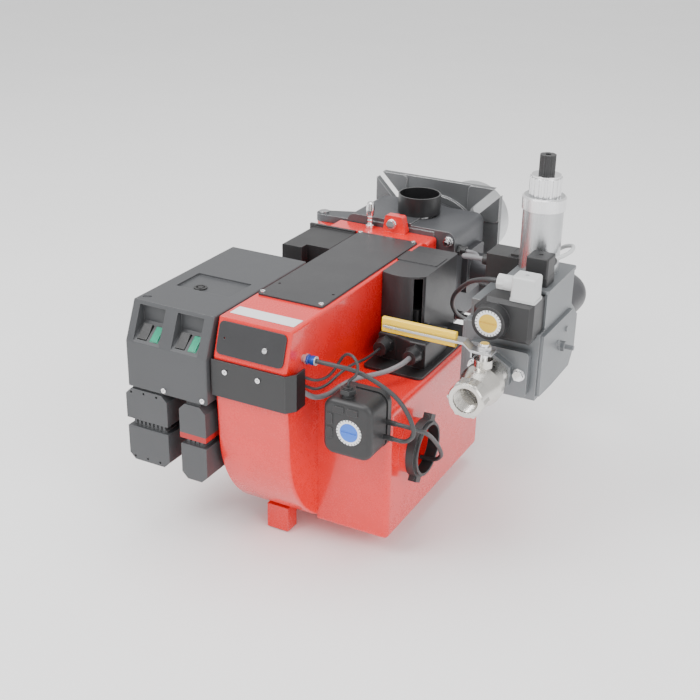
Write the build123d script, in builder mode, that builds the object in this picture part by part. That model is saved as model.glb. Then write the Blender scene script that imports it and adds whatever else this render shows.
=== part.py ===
from build123d import *
import math
import os

# Industrial gas burner: fan and control unit hinged on a boiler flange, with its gas train.
# Frame: origin at the centre of the flange's boiler-side face, on the blast tube's axis.
# +Y points into the boiler, +X to the gas train's side, +Z up. Millimetres.

# ---------------------------------------------------------------- driving dimensions
touch = 0.3                 # gap kept between pieces that seat without touching
shaft_clearance = 0.05      # radial running clearance of shafts and pins

# boiler flange and blast tube
flange_size = 221
flange_plate_t = 9
flange_pad_t = 3
flange_corner_r = 8
flange_pad_inner = 55       # distance from the axis to a corner pad's inner edges
slot_width = 15
slot_inner_r = 98
collar_r = 86
collar_wall = 7
collar_h = 6
tube_r = 65.5
tube_wall = 2.5
tube_reach = 170            # how far the blast tube stands into the boiler

# neck casting between flange and fan housing
joint_y = -146              # front face of the casting
gasket_t = 2
neck_left = -95
neck_right = 92
neck_top = 77
neck_step_top = 74
neck_step_x = 17
neck_bottom = -88
neck_rear_y = -30
neck_corner_r = 14
neck_bore_r = 66
spigot_r = 74
sleeve_r = 34
sleeve_wall = 2.5
sleeve_h = 30
sleeve_x = 1
sleeve_y = -82

neck_gland_y = -132
high_gland_z = 44
low_gland_z = -64

# vertical service hinge on the left of the neck
hinge_x = -147
hinge_y = -127
hinge_pin_r = 5
hinge_eye_r = 12
hinge_arm_t = 12
hinge_top = 63
hinge_knuckle_h = 26
hinge_lower_top = -22

# fan housing
housing_half = 55
housing_top = 63
housing_front_y = -574
slant_y = -593
slant_z = 12
scroll_y = -421
scroll_z = -103
scroll_r = 163
throat_y = -300
duct_bottom = -82
wall = 3
rear_left = -109
rear_right = 62
rear_depth = 34
inlet_r = 50                # fan inlet between housing and intake box

foot_y = -500
foot_bottom = -281
plunger_x = -48
plunger_y = -158
plunger_r = 4.5

# cable bracket across the front
bracket_t = 2.5
bracket_bottom = -43
bracket_side = 34
bracket_x = 63              # inner face of the side that hides the leads

# lid on top
lid_half = 50
lid_front_y = -488
lid_rear_y = -190
lid_t = 3

# intake box
box_right = 164
box_front_y = -506
box_rear_y = -185
box_top = -54
box_bottom = -251
box_fillet = 8
mouth_y = -440
mouth_z = -131
mouth_r = 34
mouth_wall = 3
ring_r = 41
ring_w = 16
mouth_reach = 27

# servo cover and gland box on the intake box
cover_right = 119
cover_front_y = -325
cover_bulge = 14
cover_rear_y = -196
base_plate_t = 4
base_left = 66
base_right = 157
base_front_y = -400
gland_box_h = 42
gland_box_front_y = -362
gland_r = 12
gland_1_x = 84
gland_2_x = 134

# air damper flap, hinged beside the fan inlet
inlet_lip = 6
damper_x = 65
damper_y = -300
damper_tip_y = -476
damper_h = 106
damper_shaft_r = 4
shaft_low = -170

# fan
fan_r = 92
fan_hub_r = 14
fan_width = 62
fan_blades = 30
fan_blade_t = 1.6
fan_eye_r = 70
fan_axis_y = -421
fan_axis_z = -112
shaft_r = 6
motor_r = 47
motor_left = -182

# air pressure switch
air_sw_x = 130
air_sw_z = -60
air_sw_w = 70
air_sw_h = 80
air_sw_front_y = -566
air_dial_r = 18
switch_gland_x = 122
switch_gland_y = -548
lead_r = 2
supply_r = 3.6
cable_r = 3.2
brake_cable_r = 2.8
barb_y = -522
barb_high_z = -58
barb_low_y = -530
barb_low_z = -76
hose_r = 3

# control cabinet
cab_left = -188
cab_right = -59
cab_top = 61
cab_bottom = -58
cab_front_y = -578
cab_slant_y = -601
cab_slant_z = 8
cab_rear_y = -339

reset_x = -136
reset_y = -497
reset_r = 9

# connectors under the cabinet
plug_gap = 12
seven_left = -193
seven_right = -125
four_left = -105
four_right = -63
plug_depth = 62
plug_front_y = -601
socket_h = 46
plug_h = 50

# gas train
gas_x = 272                 # axis of the gas train
gas_z = 0
valve_half = 51
valve_front_y = -392
valve_rear_y = -283
valve_top = 106
valve_seam_z = 56
lower_front_y = -408
lower_rear_y = -263
lower_bottom = -38
term_left = 207
term_right = 255.5
term_front_y = -313
term_rear_y = -270
term_bottom = 80
term_top = 116
term_gland_z = 97
can_x = 284
can_y = -320
can_r = 27.5
can_top = 212
gas_pipe_r = 24
gas_pipe_y = -80
ball_front_y = -525
ball_rear_y = -432
ball_bore_r = 16.6
thread_l = 28               # threaded depth at the inlet, up to its shoulder
port_r = 13.6               # clear way through the ball and its seats
ball_hex = 44
ball_ring_r = 23.4
ball_r = 23
stem_y = -470
stem_r = 6
lever_z = 44


def save(builder, name):
    """Label one finished piece and write it as its own STEP file."""
    builder.part.label = name
    export_step(builder.part, f"parts/{name}.step")


def side_plane(x):
    """Sketch plane facing +X at x: local x runs along +Y, local y along +Z."""
    return Plane(origin=(x, 0, 0), x_dir=(0, 1, 0), z_dir=(1, 0, 0))


def front_plane(y):
    """Sketch plane facing -Y at y: local x runs along +X, local y along +Z."""
    return Plane(origin=(0, y, 0), x_dir=(1, 0, 0), z_dir=(0, -1, 0))


os.makedirs("parts", exist_ok=True)

# ---------------------------------------------------------------- boiler flange
flange_front_y = -(flange_plate_t + flange_pad_t)
pad_size = flange_size / 2 - flange_pad_inner
pad_centre = (flange_size / 2 + flange_pad_inner) / 2
slot_outer_r = flange_size * 0.75

with BuildPart() as flange_plate:
    with BuildSketch(front_plane(0)):
        RectangleRounded(flange_size, flange_size, flange_corner_r)
    extrude(amount=flange_plate_t)
    with BuildSketch(front_plane(-flange_plate_t)):
        with GridLocations(2 * pad_centre, 2 * pad_centre, 2, 2):
            RectangleRounded(pad_size, pad_size, flange_corner_r)
    extrude(amount=flange_pad_t)
    with BuildSketch(front_plane(-flange_plate_t)):
        Circle(collar_r)
    extrude(amount=collar_h)
    with BuildSketch(front_plane(0)):
        Circle(spigot_r + touch)
    extrude(amount=flange_plate_t + collar_h, mode=Mode.SUBTRACT)
    with BuildSketch(front_plane(0)):
        for quarter in range(4):
            with Locations(Rotation(0, 0, 45 + 90 * quarter)):
                with Locations(((slot_inner_r + slot_outer_r) / 2, 0)):
                    SlotOverall(slot_outer_r - slot_inner_r + slot_width, slot_width)
    extrude(amount=flange_plate_t + collar_h, mode=Mode.SUBTRACT)
save(flange_plate, "flange_plate")

# ---------------------------------------------------------------- blast tube
with BuildPart() as blast_tube:
    with BuildSketch(Plane.XY) as tube_profile:
        with BuildLine():
            Polyline(
                (tube_r - tube_wall, -flange_plate_t), (tube_r, -flange_plate_t),
                (tube_r, 0), (tube_r, tube_reach - 6), (tube_r - 3, tube_reach),
                (tube_r - 3 - tube_wall, tube_reach), (tube_r - tube_wall, tube_reach - 6),
                close=True,
            )
        make_face()
    revolve(axis=Axis.Y)
    with BuildSketch(front_plane(0)):
        Circle(spigot_r)
        Circle(tube_r - tube_wall, mode=Mode.SUBTRACT)
    extrude(amount=flange_plate_t)
save(blast_tube, "blast_tube")

# ---------------------------------------------------------------- neck casting
neck_front_y = joint_y
hinge_arm_front = hinge_y - hinge_eye_r
with BuildPart() as neck_casting:
    with BuildSketch(front_plane(neck_front_y)):
        with BuildLine():
            Polyline(
                (neck_left, neck_bottom), (neck_right, neck_bottom), (neck_right, neck_step_top),
                (neck_step_x, neck_step_top), (neck_step_x, neck_top), (neck_left, neck_top),
                close=True,
            )
        make_face()
        corners = vertices().filter_by(lambda v: abs(v.X - neck_step_x) > 1)
        fillet(corners, neck_corner_r)
    extrude(amount=-(neck_rear_y - neck_front_y))
    with BuildSketch(front_plane(neck_rear_y)):
        Circle(spigot_r)
    extrude(amount=neck_rear_y + flange_plate_t + touch)
    # air way from the fan housing to the blast tube
    with BuildSketch(front_plane(-flange_plate_t)):
        Circle(neck_bore_r)
    extrude(amount=-flange_plate_t - neck_front_y, mode=Mode.SUBTRACT)
    # inspection sleeve seat on top, gas inlet on the right
    with Locations(Location((sleeve_x, sleeve_y, neck_top))):
        Cylinder(sleeve_r - sleeve_wall - 1, 40, mode=Mode.SUBTRACT)
    with Locations(Location((neck_right, gas_pipe_y, gas_z), (0, 90, 0))):
        Cylinder(gas_pipe_r - 4, 60, mode=Mode.SUBTRACT)
    # hinge arms with eyes for the vertical pin
    for arm_top in (hinge_top, hinge_lower_top):
        with BuildSketch(Plane.XY.offset(arm_top - hinge_arm_t)):
            with BuildLine():
                Polyline(
                    (hinge_x, hinge_y - hinge_eye_r), (neck_left + 1, hinge_y - hinge_eye_r + 3),
                    (neck_left + 1, hinge_y + 34), (hinge_x, hinge_y + hinge_eye_r), close=True,
                )
            make_face()
            with Locations((hinge_x, hinge_y)):
                Circle(hinge_eye_r)
        extrude(amount=hinge_arm_t)
    with Locations((hinge_x, hinge_y, 0)):
        Cylinder(hinge_pin_r + touch, 200, mode=Mode.SUBTRACT)
    # gasket bonded to the joint face
    with BuildSketch(front_plane(joint_y)):
        Rectangle(2 * (housing_half + 2), neck_top - neck_bottom - 24)
        Circle(neck_bore_r - 13, mode=Mode.SUBTRACT)
    extrude(amount=gasket_t)
save(neck_casting, "neck_casting")

# ---------------------------------------------------------------- cable glands on the neck's right side
with BuildPart() as neck_glands:
    for y, z in ((neck_gland_y, high_gland_z), (neck_gland_y, low_gland_z)):
        with BuildSketch(side_plane(neck_right)):
            with Locations((y, z)):
                RegularPolygon(8.5, 6)
        extrude(amount=6)
        with BuildSketch(side_plane(neck_right + 6)):
            with Locations((y, z)):
                Circle(7)
        extrude(amount=8)
        with BuildSketch(side_plane(neck_right + 2)):
            with Locations((y, z)):
                Circle(3.9)
        extrude(amount=14, mode=Mode.SUBTRACT)
save(neck_glands, "neck_glands")

# ---------------------------------------------------------------- hinge pin
pin_low = hinge_lower_top - hinge_arm_t - 4
with BuildPart() as hinge_pin:
    with Locations((hinge_x, hinge_y, (hinge_top + 3 + pin_low) / 2)):
        Cylinder(hinge_pin_r, hinge_top + 3 - pin_low)
    with Locations((hinge_x, hinge_y, hinge_top + 1.5)):
        Cylinder(hinge_pin_r + 3, 3)
save(hinge_pin, "hinge_pin")

# ---------------------------------------------------------------- inspection sleeve
with BuildPart() as inlet_sleeve:
    with BuildSketch(Plane.XY.offset(neck_top)):
        with Locations((sleeve_x, sleeve_y)):
            Circle(sleeve_r)
            Circle(sleeve_r - sleeve_wall, mode=Mode.SUBTRACT)
    extrude(amount=sleeve_h)
    with BuildSketch(Plane.XY.offset(neck_top)):
        with Locations((sleeve_x, sleeve_y)):
            Circle(sleeve_r - sleeve_wall)
    extrude(amount=3)
save(inlet_sleeve, "inlet_sleeve")

# ---------------------------------------------------------------- gas lance and mixing head
lance_r = 12
nozzle_r = 26
with BuildPart() as gas_lance:
    with BuildSketch(Plane.XY):
        with BuildLine():
            Polyline(
                (0, gas_pipe_y - lance_r - 4), (lance_r, gas_pipe_y - lance_r - 4), (lance_r, 70),
                (nozzle_r, 84), (nozzle_r, 104), (nozzle_r - 3, 104), (nozzle_r - 3, 86),
                (lance_r - 2, 74), (lance_r - 2, gas_pipe_y), (0, gas_pipe_y), close=True,
            )
        make_face()
    revolve(axis=Axis.Y)
    with Locations(Location(((neck_right + 4) / 2, gas_pipe_y, 0), (0, 90, 0))):
        Cylinder(lance_r - 2, neck_right + 4)
    # collar that seats the branch in the casting's gas inlet
    with Locations(Location((neck_right - 8, gas_pipe_y, gas_z), (0, 90, 0))):
        Cylinder(gas_pipe_r - 4 - touch, 14)
    with Locations(Location((0, 96, 0), (90, 0, 0))):
        with PolarLocations(0, 12):
            with Locations(Location((nozzle_r, 0, 0), (0, 90, 0))):
                Cylinder(2, 8, mode=Mode.SUBTRACT)
save(gas_lance, "gas_lance")

# ---------------------------------------------------------------- diffuser disc with swirl slots
diffuser_y = 112
electrode_x = 34
electrode_z = 22
with BuildPart() as diffuser_disc:
    with BuildSketch(front_plane(diffuser_y)):
        Circle(tube_r - tube_wall - 8)
        Circle(nozzle_r - 8, mode=Mode.SUBTRACT)
        with PolarLocations(41, 16, start_angle=11.25):
            SlotOverall(18, 4, mode=Mode.SUBTRACT)
        with Locations((-electrode_x, electrode_z), (electrode_x, electrode_z)):
            Circle(5.5, mode=Mode.SUBTRACT)
    extrude(amount=2)
    with BuildSketch(front_plane(diffuser_y - 2)):
        Circle(nozzle_r + 1.5)
        Circle(nozzle_r - 3, mode=Mode.SUBTRACT)
    extrude(amount=diffuser_y - 2 - 104)
save(diffuser_disc, "diffuser_disc")

# ---------------------------------------------------------------- electrodes
with BuildPart() as electrodes:
    for side in (-1, 1):
        with Locations(Location((side * electrode_x, 60, electrode_z), (90, 0, 0))):
            Cylinder(4, 70)
        with Locations(Location((side * electrode_x, 76, electrode_z), (90, 0, 0))):
            Cylinder(1.2, 116)
    # clamp strap carrying both rods on the lance
    with Locations((0, 50, electrode_z)):
        Box(2 * electrode_x, 8, 4)
    with Locations((0, 50, (electrode_z + lance_r) / 2)):
        Box(8, 8, electrode_z - lance_r - 0.4)
save(electrodes, "electrodes")

# ---------------------------------------------------------------- gas pipe from valve to neck
bend_r = 45
inlet_flange_t = 12
with BuildPart() as gas_elbow:
    with BuildLine(Plane.XY) as bend_path:
        FilletPolyline(
            (neck_right + 6, gas_pipe_y, gas_z), (gas_x, gas_pipe_y, gas_z),
            (gas_x, lower_rear_y + inlet_flange_t, gas_z), radius=bend_r,
        )
    with BuildSketch(side_plane(neck_right + 6)):
        with Locations((gas_pipe_y, gas_z)):
            Circle(gas_pipe_r)
            Circle(gas_pipe_r - 4, mode=Mode.SUBTRACT)
    sweep(path=bend_path.wires()[0])
    with BuildSketch(side_plane(neck_right)):
        with Locations((gas_pipe_y, gas_z)):
            RectangleRounded(64, 72, 8)
            Circle(gas_pipe_r - 4, mode=Mode.SUBTRACT)
    extrude(amount=10)
    with BuildSketch(front_plane(lower_rear_y + inlet_flange_t)):
        with Locations((gas_x, gas_z)):
            RectangleRounded(74, 64, 8)
            Circle(gas_pipe_r - 4, mode=Mode.SUBTRACT)
    extrude(amount=inlet_flange_t)
save(gas_elbow, "gas_elbow")

# ---------------------------------------------------------------- double gas valve body
chamfer_low = 22
with BuildPart() as valve_body:
    with BuildSketch(side_plane(gas_x - valve_half)):
        with BuildLine():
            Polyline(
                (valve_front_y, valve_top), (valve_front_y, valve_seam_z), (lower_front_y, valve_seam_z),
                (lower_front_y, lower_bottom), (lower_rear_y - chamfer_low, lower_bottom),
                (lower_rear_y, lower_bottom + chamfer_low), (lower_rear_y, valve_seam_z - 16),
                (valve_rear_y, valve_seam_z), (valve_rear_y, valve_top), close=True,
            )
        make_face()
    extrude(amount=2 * valve_half)
    # cap plate on top with a small overhang
    with BuildSketch(Plane.XY.offset(valve_top)):
        with Locations((gas_x, (valve_front_y + valve_rear_y) / 2)):
            RectangleRounded(2 * valve_half + 4, valve_rear_y - valve_front_y + 4, 4)
    extrude(amount=4)
    # step for the terminal box on the left
    with BuildSketch(Plane.XY.offset(term_bottom)):
        with Locations((gas_x - valve_half - 5, valve_front_y - 5)):
            Rectangle(term_right + touch - gas_x + valve_half + 5, 200, align=(Align.MIN, Align.MIN))
    extrude(amount=60, mode=Mode.SUBTRACT)
    # gas way
    with Locations(Location((gas_x, (lower_front_y + lower_rear_y) / 2, gas_z), (90, 0, 0))):
        Cylinder(gas_pipe_r - 4, lower_rear_y - lower_front_y, mode=Mode.SUBTRACT)
save(valve_body, "valve_body")

# ---------------------------------------------------------------- side covers of the valve
side_cover_t = 5
with BuildPart() as valve_covers:
    for side in (-1, 1):
        face_x = gas_x + side * valve_half
        with BuildSketch(side_plane(face_x)):
            with BuildLine():
                Polyline(
                    (lower_front_y + 3, valve_seam_z - 3), (lower_front_y + 3, lower_bottom + 6),
                    (lower_front_y + 50, lower_bottom + 3), (lower_rear_y - chamfer_low, lower_bottom + 3),
                    (lower_rear_y - 4, lower_bottom + chamfer_low + 4), (lower_rear_y - 4, valve_seam_z - 20),
                    (valve_rear_y - 6, valve_seam_z - 5), close=True,
                )
            make_face()
        extrude(amount=side * side_cover_t)
    cover_x = gas_x + valve_half + side_cover_t
    # test nipple and plug on the outer cover
    with Locations(Location((cover_x + 9, lower_front_y + 78, 12), (0, 90, 0))):
        Cylinder(3.2, 18)
    with BuildSketch(side_plane(cover_x)):
        with Locations((lower_front_y + 78, 12)):
            RegularPolygon(7, 6)
    extrude(amount=6)
    with BuildSketch(side_plane(cover_x)):
        with Locations((lower_front_y + 62, 22), (lower_front_y + 96, 30)):
            Circle(4)
    extrude(amount=2)
    # regulator cap on the back
    with Locations(Location((gas_x + 31, valve_rear_y + 7.5, valve_seam_z + 17), (90, 0, 0))):
        Cylinder(15, 15)
save(valve_covers, "valve_covers")

# ---------------------------------------------------------------- inlet flange of the valve
with BuildPart() as inlet_flange:
    with BuildSketch(front_plane(lower_front_y)):
        with Locations((gas_x, gas_z)):
            RectangleRounded(84, 64, 6)
            Circle(gas_pipe_r - 4, mode=Mode.SUBTRACT)
            with GridLocations(62, 0, 2, 1):
                Circle(4.2, mode=Mode.SUBTRACT)
    extrude(amount=inlet_flange_t)
    with BuildSketch(front_plane(lower_front_y - inlet_flange_t)):
        with Locations((gas_x, gas_z)):
            RegularPolygon(ball_hex / 2, 6, major_radius=False, rotation=30)
            Circle(port_r, mode=Mode.SUBTRACT)
    extrude(amount=lower_front_y - inlet_flange_t - ball_rear_y)
save(inlet_flange, "inlet_flange")

# ---------------------------------------------------------------- bolts of the gas train
bolt_head_h = 5
with BuildPart() as gas_train_bolts:
    flange_face_y = lower_front_y - inlet_flange_t
    with BuildSketch(front_plane(flange_face_y)):
        with Locations((gas_x, gas_z)):
            with GridLocations(62, 0, 2, 1):
                Circle(8.5)
    extrude(amount=1.6)
    with BuildSketch(front_plane(flange_face_y - 1.6)):
        with Locations((gas_x, gas_z)):
            with GridLocations(62, 0, 2, 1):
                RegularPolygon(6.5, 6, major_radius=False)
    extrude(amount=bolt_head_h)
    with BuildSketch(front_plane(flange_face_y)):
        with Locations((gas_x, gas_z)):
            with GridLocations(62, 0, 2, 1):
                Circle(3.9)
    extrude(amount=-(inlet_flange_t - touch))
    # stud with nut on the neck's right shoulder
    with BuildSketch(front_plane(joint_y)):
        with Locations((neck_right - 10, neck_step_top - 14)):
            Circle(7.5)
    extrude(amount=1.6)
    with BuildSketch(front_plane(joint_y - 1.6)):
        with Locations((neck_right - 10, neck_step_top - 14)):
            RegularPolygon(6, 6, major_radius=False)
    extrude(amount=6)
    with BuildSketch(front_plane(joint_y - 7.6)):
        with Locations((neck_right - 10, neck_step_top - 14)):
            Circle(3.5)
    extrude(amount=6)
save(gas_train_bolts, "gas_train_bolts")

# ---------------------------------------------------------------- terminal box of the valve
with BuildPart() as terminal_box:
    with BuildSketch(Plane.XY.offset(term_bottom + touch)):
        with Locations(((term_left + term_right) / 2, (term_front_y + term_rear_y) / 2)):
            RectangleRounded(term_right - term_left, term_rear_y - term_front_y, 2)
    extrude(amount=term_top - term_bottom - touch)
    with Locations((term_right - 17, (term_front_y + term_rear_y) / 2, term_top)):
        Box(0.8, term_rear_y - term_front_y, 1.6, mode=Mode.SUBTRACT)
    with Locations((term_right - 9, term_front_y + 8, term_top + 2)):
        Box(12, 8, 4)
    # cable gland on the left face
    with Locations(Location((term_left - 6, term_front_y + 24, term_gland_z), (0, 90, 0))):
        Cylinder(7.5, 12)
        Cylinder(cable_r + touch, 12, mode=Mode.SUBTRACT)
    with Locations(Location((term_right, term_rear_y - 5.5, 101), (0, 90, 0))):
        Cylinder(brake_cable_r + touch, 12, mode=Mode.SUBTRACT)
save(terminal_box, "terminal_box")

# ---------------------------------------------------------------- square solenoid connector
din_w = 29
din_x = 303
din_y = -368
cap_t = 4
with BuildPart() as black_connector:
    with BuildSketch(Plane.XY.offset(valve_top + cap_t)):
        with Locations((din_x, din_y)):
            RectangleRounded(din_w, din_w, 2)
    extrude(amount=12)
    with BuildSketch(Plane.XY.offset(valve_top + cap_t + 12)):
        with Locations((din_x - 1, din_y)):
            RectangleRounded(din_w + 1, din_w + 1, 3)
    extrude(amount=26)
    top_edges = edges().filter_by(GeomType.LINE).group_by(Axis.Z)[-1]
    fillet(top_edges, 2)
    with Locations((din_x - 1, din_y, valve_top + cap_t + 38)):
        Cylinder(3.2, 3, mode=Mode.SUBTRACT)
    brake_gland_z = valve_top + cap_t + 24
    with Locations(Location((din_x + 8, din_y + din_w / 2 + 4, brake_gland_z), (90, 0, 0))):
        Cylinder(6, 8)
        Cylinder(brake_cable_r + touch, 8, mode=Mode.SUBTRACT)
save(black_connector, "black_connector")

# ---------------------------------------------------------------- solenoid can
band_h = 18
with BuildPart() as solenoid_can:
    with BuildSketch(Plane.XZ):
        with BuildLine():
            Polyline(
                (0, valve_top + cap_t), (can_r - 1, valve_top + cap_t), (can_r - 1, can_top - band_h),
                (can_r + 1, can_top - band_h), (can_r + 1, can_top - 2), (can_r - 1, can_top),
                (0, can_top), close=True,
            )
        make_face()
    revolve(axis=Axis.Z)
solenoid_can.part.locate(Location((can_x, can_y, 0)))
save(solenoid_can, "solenoid_can")

# ---------------------------------------------------------------- hydraulic brake knob and cap
knob_r = 21
knob_h = 27
cap_r = 10.5
cap_h = 26
spindle_r = 5
with BuildPart() as brake_knob:
    with BuildSketch(Plane.XY.offset(can_top + touch)):
        Circle(knob_r)
        with PolarLocations(knob_r + 1.2, 18):
            Circle(2.6, mode=Mode.SUBTRACT)
    extrude(amount=knob_h - 3)
    with BuildSketch(Plane.XY.offset(can_top + touch + knob_h - 3)):
        Circle(knob_r - 2)
    extrude(amount=3)
brake_knob.part.locate(Location((can_x, can_y, 0)))
save(brake_knob, "brake_knob")

with BuildPart() as brake_cap:
    with BuildSketch(Plane.XY.offset(can_top + touch + knob_h)):
        Circle(cap_r)
        with PolarLocations(cap_r + 0.8, 8):
            Circle(1.6, mode=Mode.SUBTRACT)
    extrude(amount=cap_h)
    with Locations((0, 0, can_top + touch + knob_h + cap_h - 3)):
        Cylinder(4, 6, mode=Mode.SUBTRACT)
brake_cap.part.locate(Location((can_x, can_y, 0)))
save(brake_cap, "brake_cap")

# ---------------------------------------------------------------- gas pressure switch
gas_sw_left = 240
gas_sw_right = 320
gas_sw_bottom = 49
gas_sw_top = 104
gas_sw_front_y = -436
dial_x = 267
dial_z = 75
dial_r = 17.5
dial_t = 3
boss_r = 24
with BuildPart() as gas_switch:
    with BuildSketch(front_plane(valve_front_y)):
        with BuildLine():
            Polyline(
                (gas_sw_left + 14, gas_sw_bottom), (gas_sw_right - 3, gas_sw_bottom),
                (gas_sw_right, gas_sw_bottom + 8), (gas_sw_right, gas_sw_top),
                (gas_sw_left + 16, gas_sw_top), (gas_sw_left, gas_sw_top - 16),
                (gas_sw_left, gas_sw_bottom + 14), close=True,
            )
        make_face()
    extrude(amount=valve_front_y - gas_sw_front_y)
    front_edges = edges().filter_by(GeomType.LINE).group_by(Axis.Y)[0]
    chamfer(front_edges, 5)
    with BuildSketch(front_plane(gas_sw_front_y)):
        with Locations((dial_x, dial_z)):
            Circle(boss_r)
    extrude(amount=14, taper=8)
    with BuildSketch(front_plane(gas_sw_front_y - 14)):
        with Locations((dial_x, dial_z)):
            Circle(dial_r + touch)
    extrude(amount=-(dial_t + 1), mode=Mode.SUBTRACT)
    # the back is stepped over the valve's lower body
    with Locations((gas_x, (lower_front_y + valve_front_y) / 2, valve_seam_z - 30 + touch)):
        Box(2 * valve_half, valve_front_y - lower_front_y + 2 * touch, 60, mode=Mode.SUBTRACT)
save(gas_switch, "gas_switch")

with BuildPart() as gas_dial:
    with BuildSketch(front_plane(gas_sw_front_y - 14 + dial_t)):
        with Locations((dial_x, dial_z)):
            Circle(dial_r)
    extrude(amount=dial_t)
    with BuildSketch(front_plane(gas_sw_front_y - 14)):
        with Locations((dial_x, dial_z)):
            SlotOverall(2 * dial_r - 12, 2.4)
    extrude(amount=-1, mode=Mode.SUBTRACT)
save(gas_dial, "gas_dial")

# ---------------------------------------------------------------- grey connector of the switch
plug_w = 32
plug_x = 303
plug_y = -419
plug_top = 137
with BuildPart() as grey_connector:
    with BuildSketch(Plane.XY.offset(gas_sw_top)):
        with Locations((plug_x, plug_y + 1.4)):
            RectangleRounded(plug_w + 2, plug_w - 2, 3)
    extrude(amount=3)
    with BuildSketch(Plane.XY.offset(gas_sw_top + 3)):
        with Locations((plug_x, plug_y)):
            RectangleRounded(plug_w, plug_w - 3, 4)
    extrude(amount=plug_top - gas_sw_top - 3)
    fillet(edges().group_by(Axis.Z)[-1], 3)
    with Locations((plug_x, plug_y, plug_top - 1)):
        Cylinder(2.8, 3, mode=Mode.SUBTRACT)
    grey_gland_z = gas_sw_top + 18
    with BuildSketch(Plane(origin=(plug_x - plug_w / 2 + 2, plug_y, grey_gland_z), z_dir=(-1, 0, 0))):
        Circle(10)
    extrude(amount=14)
    with BuildSketch(Plane(origin=(plug_x - plug_w / 2 - 12, plug_y, grey_gland_z), z_dir=(-1, 0, 0))):
        RegularPolygon(10.5, 8)
    extrude(amount=9)
    with Locations(Location((plug_x - plug_w / 2 - 16, plug_y, grey_gland_z), (0, 90, 0))):
        Cylinder(3.4, 14, mode=Mode.SUBTRACT)
save(grey_connector, "grey_connector")

# ---------------------------------------------------------------- ball valve
hex_len = 20
thread_end_y = ball_front_y + 1 + thread_l
seat_reach = math.sqrt(ball_r ** 2 - port_r ** 2) + touch
with BuildPart() as ball_valve_body:
    with BuildSketch(Plane.XY):
        with BuildLine():
            Polyline(
                (ball_bore_r, ball_front_y + 1), (ball_ring_r - 1.5, ball_front_y),
                (ball_ring_r, ball_front_y + 2), (ball_ring_r, ball_front_y + hex_len),
                (ball_ring_r - 2, ball_front_y + hex_len + 3), (ball_r + 2, stem_y - 18),
                (ball_r + 5, stem_y - 6), (ball_r + 5, stem_y + 8), (ball_ring_r - 3, stem_y + 22),
                (ball_ring_r - 3, ball_rear_y), (port_r, ball_rear_y),
                (port_r, stem_y + seat_reach), (ball_r + touch, stem_y + ball_r * 0.7),
                (ball_r + touch, stem_y - ball_r * 0.7), (port_r, stem_y - seat_reach),
                (port_r, thread_end_y), (ball_bore_r, thread_end_y),
                close=True,
            )
        make_face()
    revolve(axis=Axis.Y)
    with BuildSketch(front_plane(ball_front_y + 2)):
        RegularPolygon(ball_hex / 2, 6, major_radius=False)
        Circle(ball_bore_r + 2, mode=Mode.SUBTRACT)
    extrude(amount=-(hex_len - 3))
    # stem boss with the two lever stops
    boss_top = lever_z - 8
    with BuildSketch(Plane.XY.offset(ball_r + 2)):
        with Locations((0, stem_y)):
            Circle(12)
    extrude(amount=boss_top - ball_r - 2)
    with Locations((0, stem_y, boss_top - 10)):
        Cylinder(stem_r + shaft_clearance, 30, mode=Mode.SUBTRACT)
ball_valve_body.part.locate(Location((gas_x, 0, gas_z)))
save(ball_valve_body, "ball_valve_body")

stem_top = lever_z + 4 + 9
with BuildPart() as valve_ball:
    with Locations((0, stem_y, 0)):
        Sphere(ball_r)
    with Locations((0, stem_y, stem_top / 2)):
        Cylinder(stem_r, stem_top)
    # bore lies across the pipe while the valve is closed
    with Locations(Location((0, stem_y, 0), (0, 90, 0))):
        Cylinder(port_r, 2 * ball_r + 2, mode=Mode.SUBTRACT)
valve_ball.part.locate(Location((gas_x, 0, gas_z)))
save(valve_ball, "valve_ball")

# ---------------------------------------------------------------- lever, nut and grip
lever_w = 17
lever_t = 3
lever_len = 142
grip_len = 104
lever_rise = 8
with BuildPart() as valve_lever:
    with BuildSketch(Plane.XZ.offset(-lever_w / 2)):
        with BuildLine():
            Polyline(
                (13, lever_z), (13, lever_z + lever_t), (-16, lever_z + lever_t),
                (-26, lever_z + lever_rise + lever_t), (-lever_len + 4, lever_z + lever_rise + lever_t),
                (-lever_len + 4, lever_z + lever_rise), (-26 + 1, lever_z + lever_rise),
                (-16 + 1, lever_z), close=True,
            )
        make_face()
    extrude(amount=lever_w)
    # bent ear that meets the stop on the stem boss
    with Locations((-14, 0, lever_z - 3)):
        Box(2.5, lever_w, 8)
    with Locations((0, 0, lever_z)):
        Cylinder(stem_r, 30, mode=Mode.SUBTRACT)
    # washer and hex nut
    with BuildSketch(Plane.XY.offset(lever_z + lever_t)):
        Circle(9)
        Circle(stem_r, mode=Mode.SUBTRACT)
    extrude(amount=1.2)
    with BuildSketch(Plane.XY.offset(lever_z + lever_t + 1.2)):
        RegularPolygon(8, 6, major_radius=False)
        Circle(stem_r, mode=Mode.SUBTRACT)
    extrude(amount=5)
valve_lever.part.locate(Location((gas_x, stem_y, gas_z)))
save(valve_lever, "valve_lever")

grip_wall = 1.8
with BuildPart() as lever_grip:
    with BuildSketch(Plane(origin=(-lever_len, 0, lever_z + lever_rise + lever_t / 2), z_dir=(1, 0, 0))):
        RectangleRounded(lever_w + 2 * grip_wall, lever_t + 2 * grip_wall + 1, 2.6)
    extrude(amount=grip_len)
    fillet(edges().filter_by(Axis.Y).group_by(Axis.X)[0], 1.5)
    with Locations((-lever_len + 4 + lever_len / 2, 0, lever_z + lever_rise + lever_t / 2)):
        Box(lever_len, lever_w, lever_t, mode=Mode.SUBTRACT)
lever_grip.part.locate(Location((gas_x, stem_y, gas_z)))
save(lever_grip, "lever_grip")

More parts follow.
